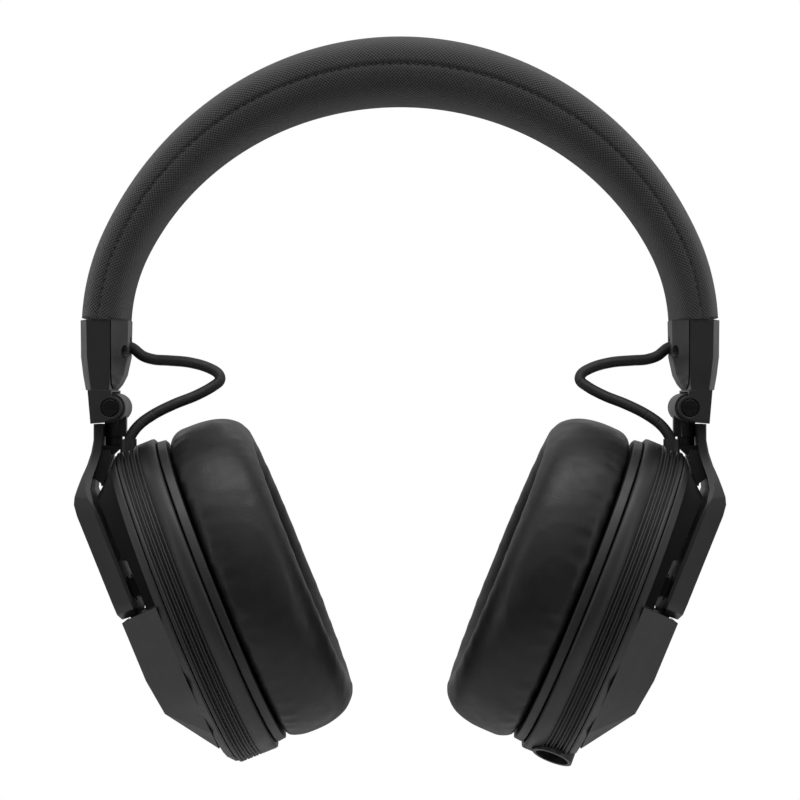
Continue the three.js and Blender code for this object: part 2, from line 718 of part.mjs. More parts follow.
function cupHousing(extra) {
  const y = half(ARM_WIDTH) + 0.8;
  const endY = half(ARM_WIDTH) - 4.2; // the arm narrows to its end
  const sweep = 8.7; // clears the arm's end as the cup tilts
  const round = cylinderY(sweep, TILT_OUT, TILT_UP, -endY, endY, 32);
  const channel = block(CORE_TOP, FAR, -FAR, FAR, TILT_UP, FAR);
  const over = block(CORE_FLOOR, FAR, -y, y, TILT_UP - sweep + 0.6, FAR);
  const foot = common(round, over);
  const beside = block(CORE_FLOOR, FAR, -y, y, TILT_UP - 7.6, TILT_UP + 1);
  const shell = cut(housingShell(), housingHollow(), channel, foot, beside);
  const lug = (side) => {
    const middle = side * half(LUG_SPACING);
    const [y0, y1] = [middle - half(LUG_THICKNESS), middle + half(LUG_THICKNESS)];
    const eye = cylinderY(LUG_RADIUS, TILT_OUT, TILT_UP, y0, y1);
    const stem = block(
      CORE_FLOOR - 1, TILT_OUT, y0, y1, TILT_UP - LUG_RADIUS, TILT_UP + LUG_RADIUS,
    );
    return join(eye, stem);
  };
  const bore = cylinderY(TILT_PIN_RADIUS + RUNNING, TILT_OUT, TILT_UP, -FAR, FAR, 16);
  return cut(join(shell, lug(1), lug(-1)), bore, ...extra);
}

// ---- Cup ring, baffle and driver ----

const RING_END = RING_START - RING_DEPTH;
const BAFFLE_THICKNESS = 1.8;
const BAFFLE_BACK = RING_END + 1 + BAFFLE_THICKNESS;

function ribbedRing(extra) {
  const outline = [[RING_START, RING_WALL], [RING_START, 0.6], [RING_START - 0.5, 0]];
  for (let i = 0; i < 2; i++) {
    const x = RING_START - 2 - i * 2.6;
    outline.push([x, 0], [x - 0.4, GROOVE_DEPTH], [x - 0.8, 0]);
  }
  outline.push([RING_END + 0.6, 0], [RING_END, 0.6], [RING_END, RING_WALL]);
  return cut(ovalRing(CUP_HEIGHT, CUP_WIDTH, outline), ...extra);
}

function baffle(extra) {
  const inset = 2 * (RING_WALL + GAP);
  const body = ovalPlate(
    CUP_HEIGHT - inset, CUP_WIDTH - inset, BAFFLE_BACK - BAFFLE_THICKNESS, BAFFLE_BACK,
  );
  return cut(body, cylinderX(DRIVER_OPENING, 0, 0, -FAR, FAR, 28), ...extra);
}

// A body of revolution about the cup's outward axis, from [x, radius] points.
function turned(profile, sides = 28) {
  const points = profile.map(([x, radius]) => new THREE.Vector2(radius, x));
  return new THREE.LatheGeometry(points, sides).rotateZ(-Math.PI / 2);
}

function driverFrame() {
  const front = BAFFLE_BACK + GAP;
  return turned([
    [front, DRIVER_OPENING],
    [front, DRIVER_RADIUS],
    [front + 1.2, DRIVER_RADIUS],
    [front + 4.6, MAGNET_RADIUS + 2.4],
    [front + 4.6, MAGNET_RADIUS + GAP],
    [front + 3.4, MAGNET_RADIUS + GAP],
    [front + 1.2, DRIVER_OPENING],
    [front, DRIVER_OPENING],
  ]);
}

function driverMagnet() {
  const front = BAFFLE_BACK + GAP;
  return cylinderX(MAGNET_RADIUS, 0, 0, front + 3, front + 8.4, 28);
}

function diaphragm() {
  const back = BAFFLE_BACK - 0.2;
  const rim = DRIVER_OPENING - GAP;
  return turned([
    [back - 0.4, 0],
    [back - 0.8, 8],
    [back - 0.4, rim],
    [back, rim],
    [back - 0.4, 8],
    [back, 0],
  ]);
}

// ---- Ear pad ----

const FLANGE_BACK = RING_END - GAP;
const FLANGE_FRONT = FLANGE_BACK - FLANGE_THICKNESS;
const PAD_BACK = FLANGE_FRONT - GAP;
const PAD_FRONT = PAD_BACK - PAD_THICKNESS;

function padFlange() {
  const inset = FLANGE_INSET;
  return ovalRing(CUP_HEIGHT, CUP_WIDTH, [
    [FLANGE_BACK, inset],
    [FLANGE_FRONT, inset + 0.3],
    [FLANGE_FRONT, inset + FLANGE_WIDTH],
    [FLANGE_BACK, inset + FLANGE_WIDTH],
  ]);
}

function speakerCloth() {
  const inset = 2 * (FLANGE_INSET + FLANGE_WIDTH + GAP);
  return ovalPlate(
    CUP_HEIGHT - inset, CUP_WIDTH - inset, FLANGE_BACK - CLOTH_THICKNESS, FLANGE_BACK,
  );
}

function earCushion() {
  const sides = 32;
  // Each profile point: share of the thickness, share of the way from outline to hole.
  const profile = [
    [0, 0.16], [0.12, 0.03], [0.45, 0], [0.8, 0.1], [0.96, 0.3],
    [1, 0.52], [0.95, 0.76], [0.75, 0.95], [0.4, 1], [0, 0.9],
  ];
  const rings = Array.from({ length: sides }, (_, i) => {
    const angle = (2 * Math.PI * i) / sides;
    return profile.map(([along, across]) => {
      const x = PAD_BACK - PAD_THICKNESS * along;
      const outer = ovalPoint(angle, x, CUP_HEIGHT, CUP_WIDTH, PAD_INSET);
      const hole = ovalPoint(angle, x, PAD_HOLE_HEIGHT, PAD_HOLE_WIDTH);
      return outer.lerp(hole, across);
    });
  });
  return loop(rings);
}

// ---- Cables and socket ----

// The link cable's middle line on the +X side, from the end cap to the top of the cup.
const LINK_ROUTE = [
  [76.3, 3, -66.4],
  [74.4, 3, -67.2],
  [71.7, 2.9, -69.3],
  [68.6, 2.7, -70.3],
  [64.4, 2.3, -70.6],
  [58.9, 1.7, -71.1],
  [53.6, 0.9, -72.5],
  [50.4, 0.2, -74.4],
  [50, -0.4, -76.1],
  [52.2, -1.1, -78],
  [56.9, -1.9, -80.5],
  [62.4, -2.8, -82.7],
  [68, -3.7, -85.5],
  [72.1, -4.5, -88.5],
  [74.3, -5.1, -91.5],
  [75, -5.2, -94.2],
];

function linkCable() {
  const points = LINK_ROUTE.map(([x, y, z]) => v3(x, y, z));
  const path = new THREE.CatmullRomCurve3(points, false, "centripetal");
  const radius = half(CABLE_DIAMETER);
  const corners = Array.from({ length: 8 }, (_, i) => {
    const turn = (2 * Math.PI * i) / 8;
    return new THREE.Vector2(radius * Math.cos(turn), radius * Math.sin(turn));
  });
  const settings = { steps: 26, extrudePath: path, bevelEnabled: false };
  return new THREE.ExtrudeGeometry(new THREE.Shape(corners), settings);
}

// The collar in the end cap that the link cable leaves through.
function capGland() {
  const { y, z, length } = CAP_GLAND;
  const back = GLAND_HOLE_X - GAP;
  const body = cylinderX(GLAND_RADIUS, y, z, back - length, back, 16);
  return cut(body, cylinderX(half(CABLE_DIAMETER) + 0.6, y, z, 0, back - GAP, 16));
}

// The boot that the link cable goes into: it stands on the cup's ribbed ring.
function cupGland() {
  const { x, y, z } = fromCup(-6.22, -5.2, half(CUP_HEIGHT) + 0.74);
  const boot = cylinderZ(GLAND_RADIUS - 0.2, x, y, z - 6, z + 1.8, 16);
  const bore = cylinderZ(half(CABLE_DIAMETER) + 0.55, x, y, z - 0.6, z + 4, 16);
  const ring = onCup(
    ovalPlate(CUP_HEIGHT + 2 * GAP, CUP_WIDTH + 2 * GAP, -FAR, FAR, 40),
  );
  return cut(boot, bore, ring);
}

// The socket's frame: its mouth at the origin, z pointing back up into the cup.
const SOCKET_PLACE = new THREE.Matrix4()
  .makeTranslation(-5.1, -10.9, 1.25 - half(CUP_HEIGHT))
  .multiply(new THREE.Matrix4().makeRotationX(rad(-SOCKET_LEAN)));

const onSocket = (geometry) => geometry.applyMatrix4(SOCKET_PLACE);

function cableSocket() {
  const body = cylinderZ(SOCKET_RADIUS, 0, 0, 0, SOCKET_LENGTH);
  const bore = cylinderZ(SOCKET_BORE, 0, 0, -1, SOCKET_LENGTH - SOCKET_FLOOR);
  return onSocket(cut(body, bore));
}

function socketJack() {
  const base = SOCKET_LENGTH - SOCKET_FLOOR - GAP;
  const body = cylinderZ(JACK_RADIUS + 1.4, 0, 0, base - 1, base, 20);
  return onSocket(cut(body, cylinderZ(JACK_RADIUS, 0, 0, -FAR, FAR, 16)));
}

function socketRoom() {
  return onSocket(cylinderZ(SOCKET_RADIUS + GAP, 0, 0, -3, SOCKET_LENGTH + GAP));
}

function socketBoard() {
  const x = BAFFLE_BACK + 1;
  const z = -DRIVER_RADIUS - 3; // just below the driver
  return block(x, x + 1.2, -9, 9, z - 11, z);
}

// ---- Assembly ----

// One side of the headphones, drawn on the +X side.
function buildSide(name, hasSocket) {
  const side = new THREE.Group();
  const put = (node, geometry, material) => add(side, node + "_" + name, geometry, material);
  put("end_cap_outer", capOuter(), finishes.moulding());
  put("end_cap_inner", capInner(), finishes.moulding());
  put("end_cap_screw", capScrew(), finishes.darkSteel());
  put("slide_rail", slideRail(), finishes.moulding());
  put("slider_bar", sliderBar(), finishes.steel());
  put("fold_block", foldBlock(), finishes.moulding());
  put("fold_pin", foldPin(), finishes.darkSteel());
  put("fold_knuckle", foldKnuckle(), finishes.moulding());
  put("swivel_collar", swivelCollar(), finishes.moulding());
  put("swivel_pin", swivelPin(), finishes.steel());
  put("yoke_arm", yokeArm(), finishes.moulding());
  put("cap_gland", capGland(), finishes.soft());
  put("link_cable", linkCable(), finishes.soft());
  put("cup_gland", cupGland(), finishes.soft());

  const cup = new THREE.Group();
  cup.position.set(CUP_X, 0, CUP_Z);
  cup.rotation.y = rad(CUP_LEAN);
  side.add(cup);
  const putCup = (node, geometry, material) => add(cup, node + "_" + name, geometry, material);
  const room = hasSocket ? [socketRoom()] : [];
  putCup("tilt_pin", tiltPin(), finishes.steel());
  putCup("cup_housing", cupHousing(room), finishes.moulding());
  putCup("ribbed_ring", ribbedRing(room), finishes.moulding());
  putCup("baffle", baffle(room), finishes.moulding());
  putCup("driver_frame", driverFrame(), finishes.moulding());
  putCup("driver_magnet", driverMagnet(), finishes.steel());
  putCup("diaphragm", diaphragm(), finishes.film());
  putCup("pad_flange", padFlange(), finishes.moulding());
  putCup("speaker_cloth", speakerCloth(), finishes.weave());
  putCup("ear_cushion", earCushion(), finishes.hide());
  if (hasSocket) {
    putCup("cable_socket", cableSocket(), finishes.moulding());
    putCup("socket_jack", socketJack(), finishes.steel());
    putCup("socket_board", socketBoard(), finishes.board());
  }
  return side;
}

add(headphones, "band_top_cover", bandPad(1), finishes.weave());
add(headphones, "band_cushion", bandPad(-1), finishes.weave());
add(headphones, "band_spring", bandSpring(), finishes.steel());
headphones.add(buildSide("left", true));
const right = buildSide("right", false);
right.scale.x = -1;
headphones.add(right);

export default headphones;
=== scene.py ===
"""Over ear headphones: the looks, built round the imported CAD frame. Metres, +Z up, the wearer faces -Y."""

import json
import math

import bmesh
import bpy
from mathutils import Matrix, Vector, noise


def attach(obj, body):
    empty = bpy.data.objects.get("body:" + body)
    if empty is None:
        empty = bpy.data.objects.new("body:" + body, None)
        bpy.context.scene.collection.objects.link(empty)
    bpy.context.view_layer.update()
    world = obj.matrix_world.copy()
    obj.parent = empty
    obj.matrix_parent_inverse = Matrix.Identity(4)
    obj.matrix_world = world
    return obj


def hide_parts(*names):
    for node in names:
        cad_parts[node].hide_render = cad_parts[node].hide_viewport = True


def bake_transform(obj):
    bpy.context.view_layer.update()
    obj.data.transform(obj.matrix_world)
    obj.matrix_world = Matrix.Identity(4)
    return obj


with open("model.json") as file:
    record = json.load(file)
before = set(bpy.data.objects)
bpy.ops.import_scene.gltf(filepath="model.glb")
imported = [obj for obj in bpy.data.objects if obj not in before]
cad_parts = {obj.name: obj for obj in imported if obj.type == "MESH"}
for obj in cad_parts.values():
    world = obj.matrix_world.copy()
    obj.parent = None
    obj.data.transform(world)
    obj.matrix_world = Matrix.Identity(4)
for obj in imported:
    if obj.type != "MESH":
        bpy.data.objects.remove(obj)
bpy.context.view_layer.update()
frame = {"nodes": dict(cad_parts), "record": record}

MM = 0.001
SIDES = {"left": 1, "right": -1}

# The camera stands level with the middle of the picture, in front of the wearer.
CAMERA_DISTANCE = 0.9
CAMERA_HEIGHT = -0.0816
CAMERA_LENS = 145.8

# Ear cup's own frame on the +X side: x outward, y back, z up along the cup
CUP_LEAN = math.radians(22)
CUP_MIDDLE = Vector((63.2, 0, -140)) * MM
CUP_HALF_HEIGHT = 46.15 * MM
CUP_HALF_WIDTH = 38.5 * MM
HOUSING_DEPTH = 13.3 * MM
RING_START = -2 * MM
RING_END = -13.3 * MM
FLANGE_FRONT = -16.2 * MM
PAD_BACK = -16.5 * MM
PAD_THICKNESS = 23 * MM

# Headband
ARC_RADIUS = 84.4 * MM
ARC_Z = -74.9 * MM
BAND_END_Z = -59.6 * MM
BAND_HALF_DEPTH = 17 * MM
CROWN_THICKNESS = 19 * MM
END_THICKNESS = 13.2 * MM
END_ANGLE = 79.35
TUCK = 1.575 * MM
TUCK_SPAN = 15

# Link cable on the +X side, from the end cap to the top of the cup
LINK_DIAMETER = 3 * MM
LINK_ROUTE = [
    (0.0763, 0.003, -0.0664),
    (0.0744, 0.003, -0.0672),
    (0.0717, 0.0029, -0.0693),
    (0.0686, 0.0027, -0.0703),
    (0.0644, 0.0023, -0.0706),
    (0.0589, 0.0017, -0.0711),
    (0.0536, 0.0009, -0.0725),
    (0.0504, 0.0002, -0.0744),
    (0.05, -0.0004, -0.0761),
    (0.0522, -0.0011, -0.078),
    (0.0569, -0.0019, -0.0805),
    (0.0624, -0.0028, -0.0827),
    (0.068, -0.0037, -0.0855),
    (0.0721, -0.0045, -0.0885),
    (0.0743, -0.0051, -0.0915),
    (0.075, -0.0052, -0.0942),
]


# ---- Camera ----


def make_camera():
    data = bpy.data.cameras.new("camera")
    data.lens = CAMERA_LENS
    data.clip_end = 20
    camera = bpy.data.objects.new("camera", data)
    bpy.context.scene.collection.objects.link(camera)
    camera.location = (0, -CAMERA_DISTANCE, CAMERA_HEIGHT)
    camera.rotation_euler = (math.radians(90), 0, 0)
    bpy.context.scene.camera = camera


# ---- Node materials ----


class Shade:
    """A principled material that is built up node by node."""

    def __init__(self, name):
        self.material = bpy.data.materials.new(name)
        self.material.use_nodes = True
        self.tree = self.material.node_tree
        self.shader = self.tree.nodes["Principled BSDF"]
        self.bump_out = None

    def node(self, kind, **settings):
        made = self.tree.nodes.new(kind)
        for key, value in settings.items():
            setattr(made, key, value)
        return made

    def link(self, source, target):
        self.tree.links.new(source, target)

    def set(self, **values):
        for key, value in values.items():
            self.shader.inputs[key.replace("_", " ")].default_value = value

    def place(self, scale=(1, 1, 1), uv=False):
        """Object or UV coordinates, scaled."""
        coords = self.node("ShaderNodeTexCoord")
        mapping = self.node("ShaderNodeMapping")
        mapping.inputs["Scale"].default_value = scale
        self.link(coords.outputs["UV" if uv else "Object"], mapping.inputs["Vector"])
        return mapping.outputs["Vector"]

    def noise(self, vector, scale, detail=4, roughness=0.55):
        made = self.node("ShaderNodeTexNoise")
        made.inputs["Scale"].default_value = scale
        made.inputs["Detail"].default_value = detail
        made.inputs["Roughness"].default_value = roughness
        self.link(vector, made.inputs["Vector"])
        return made.outputs["Fac"]

    def voronoi(self, vector, scale, feature="F1", randomness=1):
        made = self.node("ShaderNodeTexVoronoi", feature=feature)
        made.inputs["Scale"].default_value = scale
        made.inputs["Randomness"].default_value = randomness
        self.link(vector, made.inputs["Vector"])
        return made.outputs["Distance"]

    def math(self, operation, a, b=0.5):
        made = self.node("ShaderNodeMath", operation=operation)
        for socket, value in zip(made.inputs, (a, b)):
            if isinstance(value, (int, float)):
                socket.default_value = value
            else:
                self.link(value, socket)
        return made.outputs[0]

    def ramp(self, value, low, high, start=0.0, end=1.0):
        """A colour between low and high as value goes from start to end."""
        made = self.node("ShaderNodeValToRGB")
        made.color_ramp.elements[0].position = start
        made.color_ramp.elements[0].color = (*low, 1)
        made.color_ramp.elements[1].position = end
        made.color_ramp.elements[1].color = (*high, 1)
        self.link(value, made.inputs["Fac"])
        return made.outputs["Color"]

    def span(self, value, low, high, start=0.0, end=1.0):
        made = self.node("ShaderNodeMapRange")
        made.inputs["From Min"].default_value = start
        made.inputs["From Max"].default_value = end
        made.inputs["To Min"].default_value = low
        made.inputs["To Max"].default_value = high
        self.link(value, made.inputs["Value"])
        return made.outputs["Result"]

    def bump(self, height, strength, distance):
        made = self.node("ShaderNodeBump")
        made.inputs["Strength"].default_value = strength
        made.inputs["Distance"].default_value = distance
        self.link(height, made.inputs["Height"])
        if self.bump_out:
            self.link(self.bump_out, made.inputs["Normal"])
        self.bump_out = made.outputs["Normal"]
        self.link(self.bump_out, self.shader.inputs["Normal"])

    def colour(self, socket):
        self.link(socket, self.shader.inputs["Base Color"])

    def roughness(self, socket):
        self.link(socket, self.shader.inputs["Roughness"])


def grey(level, tint=1.04):
    """A neutral colour with a faint cool tint."""
    return (level, level, level * tint)


def moulded_plastic(name, level=0.021, rough=0.42, grain=2600, strength=0.12):
    """Satin moulded plastic: spark-eroded grain, slow colour drift, uneven gloss."""
    s = Shade(name)
    at = s.place()
    drift = s.noise(at, 45, 3)
    fine = s.noise(at, grain, 2, 0.6)
    s.colour(s.ramp(drift, grey(level * 0.88), grey(level * 1.12), 0.3, 0.7))
    s.roughness(s.span(s.noise(at, 160, 5), rough - 0.05, rough + 0.06, 0.3, 0.7))
    s.bump(fine, strength, 0.00004)
    s.set(Specular_IOR_Level=0.5)
    return s.material


def weave(name, level=0.038, pitch=0.95):
    """Plain basket weave from the mesh's own map, which is in millimetres, with painted shade in the gaps
    between the threads.
    """
    s = Shade(name)
    at = s.place((1 / pitch, 1 / pitch, 1), uv=True)
    split = s.node("ShaderNodeSeparateXYZ")
    s.link(at, split.inputs[0])
    across, along = split.outputs["X"], split.outputs["Y"]

    def thread(value):
        wave = s.math("SINE", s.math("MULTIPLY", value, 2 * math.pi))
        return s.math("ADD", s.math("MULTIPLY", wave, 0.5), 0.5)

    warp = thread(across)
    weft = thread(along)
    product = s.math("MULTIPLY", warp, weft)
    inverse = s.math("MULTIPLY", s.math("SUBTRACT", 1.0, warp), s.math("SUBTRACT", 1.0, weft))
    height = s.math("ADD", product, inverse)
    fuzz = s.noise(at, 3.1, 3)
    height = s.math("ADD", height, s.math("MULTIPLY", fuzz, 0.35))
    patches = s.noise(s.place(), 60, 3)
    gap_shade_and_patches = s.math("ADD", height, s.math("MULTIPLY", patches, 0.25))
    # Colour follows the weave's height: painted shade in the gaps and lighter thread tops, with random
    # patches over it.
    s.colour(s.ramp(gap_shade_and_patches, grey(level * 0.15), grey(level * 1.7), 0.4, 1.05))
    s.roughness(s.span(fuzz, 0.72, 0.95))
    s.bump(height, 0.8, 0.0003)
    s.set(Sheen_Weight=0.25, Sheen_Roughness=0.45, Specular_IOR_Level=0.3)
    return s.material


def leather(name, level=0.011, rough=0.42):
    """Smooth synthetic leather: pebbled grain with fine creases and soft gloss."""
    s = Shade(name)
    at = s.place()
    pebbles = s.voronoi(at, 1500)
    creases = s.voronoi(at, 420, "DISTANCE_TO_EDGE")
    drift = s.noise(at, 38, 4)
    s.colour(s.ramp(drift, grey(level * 0.85), grey(level * 1.2), 0.3, 0.7))
    s.roughness(s.span(s.noise(at, 220, 4), rough - 0.06, rough + 0.08, 0.3, 0.7))
    s.bump(s.noise(at, 75, 3), 0.1, 0.0004)
    s.bump(s.math("MINIMUM", creases, 0.08), 0.25, 0.0003)
    s.bump(pebbles, 0.16, 0.00008)
    s.set(Specular_IOR_Level=0.36)
    return s.material


def rubber(name, level=0.02, rough=0.5):
    """Soft cable jacket: faint ripples, dusty gloss."""
    s = Shade(name)
    at = s.place()
    s.colour(s.ramp(s.noise(at, 90, 3), grey(level * 0.85), grey(level * 1.15), 0.3, 0.7))
    s.roughness(s.span(s.noise(at, 500, 4), rough - 0.06, rough + 0.1, 0.3, 0.7))
    s.bump(s.noise(at, 1800, 2), 0.12, 0.00005)
    return s.material


def metal(name, level=0.5, rough=0.3, brush=(40, 2200, 2200)):
    """Brushed metal, with its brushing along one axis."""
    s = Shade(name)
    at = s.place(brush)
    lines = s.noise(at, 1, 4, 0.7)
    s.colour(s.ramp(lines, grey(level * 0.82, 1.01), grey(level * 1.1, 1.01), 0.3, 0.7))
    s.roughness(s.span(lines, rough - 0.08, rough + 0.12, 0.3, 0.7))
    s.bump(lines, 0.15, 0.00003)
    s.set(Metallic=1.0)
    return s.material


def speaker_weave(name, level=0.02, pitch=0.9):
    """Open speaker cloth: round holes in a staggered grid, painted dark as shade where the cloth is open."""
    s = Shade(name)
    at = s.place((1 / pitch, 1 / pitch, 1), uv=True)
    holes = s.voronoi(at, 1, randomness=0.12)
    # The holes are painted near black: painted shade where the cloth is open.
    s.colour(s.ramp(holes, grey(level * 0.15), grey(level * 1.4), 0.2, 0.5))
    s.roughness(s.span(s.noise(at, 2, 3), 0.75, 0.95))
    s.bump(holes, 0.7, 0.0003)
    return s.material


def circuit(name):
    """Green solder mask with a faint grid of tracks."""
    s = Shade(name)
    at = s.place()
    tracks = s.voronoi(at, 600, "DISTANCE_TO_EDGE", 0.5)
    s.colour(s.ramp(tracks, (0.01, 0.09, 0.03), (0.02, 0.14, 0.05), 0.03, 0.09))
    s.roughness(s.span(s.noise(at, 300, 3), 0.3, 0.45))
    s.bump(tracks, 0.2, 0.00005)
    return s.material


def film(name):
    """Pale formed film of the driver."""
    s = Shade(name)
    at = s.place()
    rings = s.noise(at, 200, 3)
    s.colour(s.ramp(rings, (0.4, 0.42, 0.45), (0.55, 0.57, 0.6), 0.3, 0.7))
    s.roughness(s.span(rings, 0.2, 0.35))
    s.bump(rings, 0.1, 0.00005)
    return s.material


def make_materials():
    return {
        "headband_fabric": weave("headband_fabric"),
        "satin_plastic": moulded_plastic("satin_plastic"),
        "ring_plastic": moulded_plastic("ring_plastic", 0.016, 0.46),
        "inner_plastic": moulded_plastic("inner_plastic", 0.008, 0.6),
        "pad_leather": leather("pad_leather"),
        "speaker_fabric": speaker_weave("speaker_fabric"),
        "cable_rubber": rubber("cable_rubber"),
        "black_metal": metal("black_metal", 0.035, 0.38),
        "slider_steel": metal("slider_steel", 0.14, 0.32, (2200, 2200, 40)),
        "spring_steel": metal("spring_steel", 0.42, 0.3),
        "driver_film": film("driver_film"),
        "jack_metal": metal("jack_metal", 0.6, 0.2),
        "board": circuit("board"),
    }


# ---- Mesh helpers ----


def piece(name, verts, faces, slot):
    """A new smooth mesh piece with its material."""
    mesh = bpy.data.meshes.new(name)
    mesh.from_pydata([tuple(v) for v in verts], [], faces)
    mesh.validate()
    mesh.update()
    mesh.shade_smooth()
    obj = bpy.data.objects.new(name, mesh)
    bpy.context.scene.collection.objects.link(obj)
    mesh.materials.append(materials[slot])
    return obj


def grid_faces(rows, columns, wrap_rows=False, wrap_columns=True):
    """Quads over a grid of points, row by row."""
    faces = []
    for i in range(rows if wrap_rows else rows - 1):
        for j in range(columns if wrap_columns else columns - 1):
            i2, j2 = (i + 1) % rows, (j + 1) % columns
            a, b = i * columns + j, i * columns + j2
            c, d = i2 * columns + j2, i2 * columns + j
            faces.append((a, b, c, d))
    return faces


def face_out(obj):
    """Turns every face of a closed mesh outward."""
    work = bmesh.new()
    work.from_mesh(obj.data)
    bmesh.ops.recalc_face_normals(work, faces=work.faces)
    work.to_mesh(obj.data)
    work.free()


def apply_modifiers(obj):
    """Replaces the mesh by what its modifiers make."""
    graph = bpy.context.evaluated_depsgraph_get()
    made = bpy.data.meshes.new_from_object(obj.evaluated_get(graph))
    obj.modifiers.clear()
    obj.data = made


SEAM_LIFT = 0.28 * MM  # how far a top face is raised towards the piece above it
LEVEL_GAP = 0.02 * MM  # a corner this near to a level belongs to the face at it
WELD_GAP = 2e-6
BEVEL_SEGMENTS = 3
NORMAL_WEIGHT = 80


def refined(node, slot, body, bevel=0.4, angle=22, flat=1.2, lift=None, drop=None):
    """A CAD node's form with its flats merged and its edges rounded.

    A face at z = lift is raised, and one at z = drop lowered, to close the seam beyond it.
    """
    source = frame["nodes"][node]
    mesh = source.data.copy()
    mesh.materials.clear()
    work = bmesh.new()
    work.from_mesh(mesh)
    bmesh.ops.remove_doubles(work, verts=work.verts, dist=WELD_GAP)
    bmesh.ops.dissolve_limit(
        work, angle_limit=math.radians(flat), verts=work.verts, edges=work.edges
    )
    for v in work.verts:
        if lift is not None and abs(v.co.z - lift) < LEVEL_GAP:
            v.co.z += SEAM_LIFT
        if drop is not None and abs(v.co.z - drop) < LEVEL_GAP:
            v.co.z -= SEAM_LIFT
    bmesh.ops.recalc_face_normals(work, faces=work.faces)
    work.to_mesh(mesh)
    work.free()
    obj = bpy.data.objects.new(node + "_shell", mesh)
    bpy.context.scene.collection.objects.link(obj)
    rounding = obj.modifiers.new("bevel", "BEVEL")
    rounding.width = bevel * MM
    rounding.segments = BEVEL_SEGMENTS
    rounding.limit_method = "ANGLE"
    rounding.angle_limit = math.radians(angle)
    rounding.harden_normals = False
    rounding.miter_outer = "MITER_ARC"
    apply_modifiers(obj)
    obj.data.materials.clear()
    obj.data.materials.append(materials[slot])
    obj.data.shade_smooth()
    weighted = obj.modifiers.new("weighted", "WEIGHTED_NORMAL")
    weighted.keep_sharp = True
    weighted.weight = NORMAL_WEIGHT
    apply_modifiers(obj)
    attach(obj, body)
    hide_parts(node)
    return obj


def from_cup(point, side=1):
    """A point of the ear cup's frame, in the object's frame."""
    x, y, z = point
    turned = Matrix.Rotation(CUP_LEAN, 3, "Y") @ Vector((x, y, z)) + CUP_MIDDLE
    turned.x *= side
    return turned


def oval(turn, inset=0.0):
    """A point [y, z] of the cup's outline, inset inside it."""
    y = (CUP_HALF_WIDTH - inset) * math.sin(turn)
    z = (CUP_HALF_HEIGHT - inset) * math.cos(turn)
    return y, z


# ---- Link cables ----


def catmull_rom(points, per_span=8):
    """The centripetal curve through the points, sampled evenly in each span."""
    points = [Vector(p) for p in points]
    ends = [2 * points[0] - points[1], *points, 2 * points[-1] - points[-2]]
    made = []
    for p0, p1, p2, p3 in zip(ends, ends[1:], ends[2:], ends[3:]):
        t1 = (p1 - p0).length ** 0.5
        t2 = t1 + (p2 - p1).length ** 0.5
        t3 = t2 + (p3 - p2).length ** 0.5
        for k in range(per_span):
            t = t1 + (t2 - t1) * k / per_span
            a1 = p0.lerp(p1, t / t1)
            a2 = p1.lerp(p2, (t - t1) / (t2 - t1))
            a3 = p2.lerp(p3, (t - t2) / (t3 - t2))
            b1 = a1.lerp(a2, t / t2)
            b2 = a2.lerp(a3, (t - t1) / (t3 - t1))
            made.append(b1.lerp(b2, (t - t1) / (t2 - t1)))
    made.append(points[-1])
    return made


def tube_rings(path, radius, sides=20):
    """Rings of points round a path, without twist."""
    rings = []
    across = Vector((0, 1, 0))
    for i, at in enumerate(path):
        ahead = path[min(i + 1, len(path) - 1)] - path[max(i - 1, 0)]
        ahead.normalize()
        across = (across - ahead * across.dot(ahead)).normalized()
        up = ahead.cross(across)
        size = radius[i] if isinstance(radius, list) else radius
        ring = []
        for j in range(sides):
            turn = 2 * math.pi * j / sides
            ring.append(at + size * (math.cos(turn) * across + math.sin(turn) * up))
        rings.append(ring)
    return rings


def tube(name, path, radius, slot, sides=20):
    """A closed tube along a path."""
    rings = tube_rings(path, radius, sides)
    verts = [v for ring in rings for v in ring]
    faces = grid_faces(len(rings), sides)
    faces.append(tuple(range(sides)))
    faces.append(tuple(reversed(range(len(verts) - sides, len(verts)))))
    obj = piece(name, verts, faces, slot)
    face_out(obj)
    return obj


def cut_path(path, lengths):
    """Splits a path at the given distances along it, which become points of both parts."""
    parts, part, gone = [], [path[0]], 0.0
    marks = list(lengths)
    for a, b in zip(path, path[1:]):
        step = (b - a).length
        while marks and gone + step > marks[0]:
            at = a.lerp(b, (marks[0] - gone) / step)
            part.append(at)
            parts.append(part)
            part = [at]
            marks.pop(0)
        part.append(b)
        gone += step
    parts.append(part)
    return parts


# How far along the cable each stretch but the last one runs
UPPER_RUN = 30.3 * MM
LOWER_RUN = 20.5 * MM
NECK_RUN = 4 * MM


def make_link_cable(side):
    """The cable from the cap to the cup, in four stretches."""
    sign = SIDES[side]
    route = [Vector((sign * x, y, z)) for x, y, z in LINK_ROUTE]
    path = catmull_rom(route)
    marks = [UPPER_RUN, UPPER_RUN + LOWER_RUN, UPPER_RUN + LOWER_RUN + NECK_RUN]
    upper, lower, neck, tail = cut_path(path, marks)
    radius = LINK_DIAMETER / 2
    chain = [
        ("upper", upper, "headband", "slider_"),
        ("lower", lower, "slider_", "knuckle_"),
        ("neck", neck, "knuckle_", "yoke_"),
        ("tail", tail, "yoke_", "cup_"),
    ]
    for part, points, first, second in chain:
        obj = tube(f"link_cable_{part}_{side}", points, radius, "cable_rubber")
        first = first + side if first.endswith("_") else first
        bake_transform(obj)
    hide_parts(f"link_cable_{side}")


# ---- Headband ----


def band_thickness(degrees):
    rise = math.cos(math.radians(degrees * 1.2)) ** 2
    return END_THICKNESS + (CROWN_THICKNESS - END_THICKNESS) * rise


def band_radius(degrees):
    past = max(0.0, abs(degrees) - END_ANGLE + TUCK_SPAN) / TUCK_SPAN
    return ARC_RADIUS - TUCK * past * past


def band_point(degrees, radius, y):
    turn = math.radians(degrees)
    return Vector((radius * math.sin(turn), y, ARC_Z + radius * math.cos(turn)))


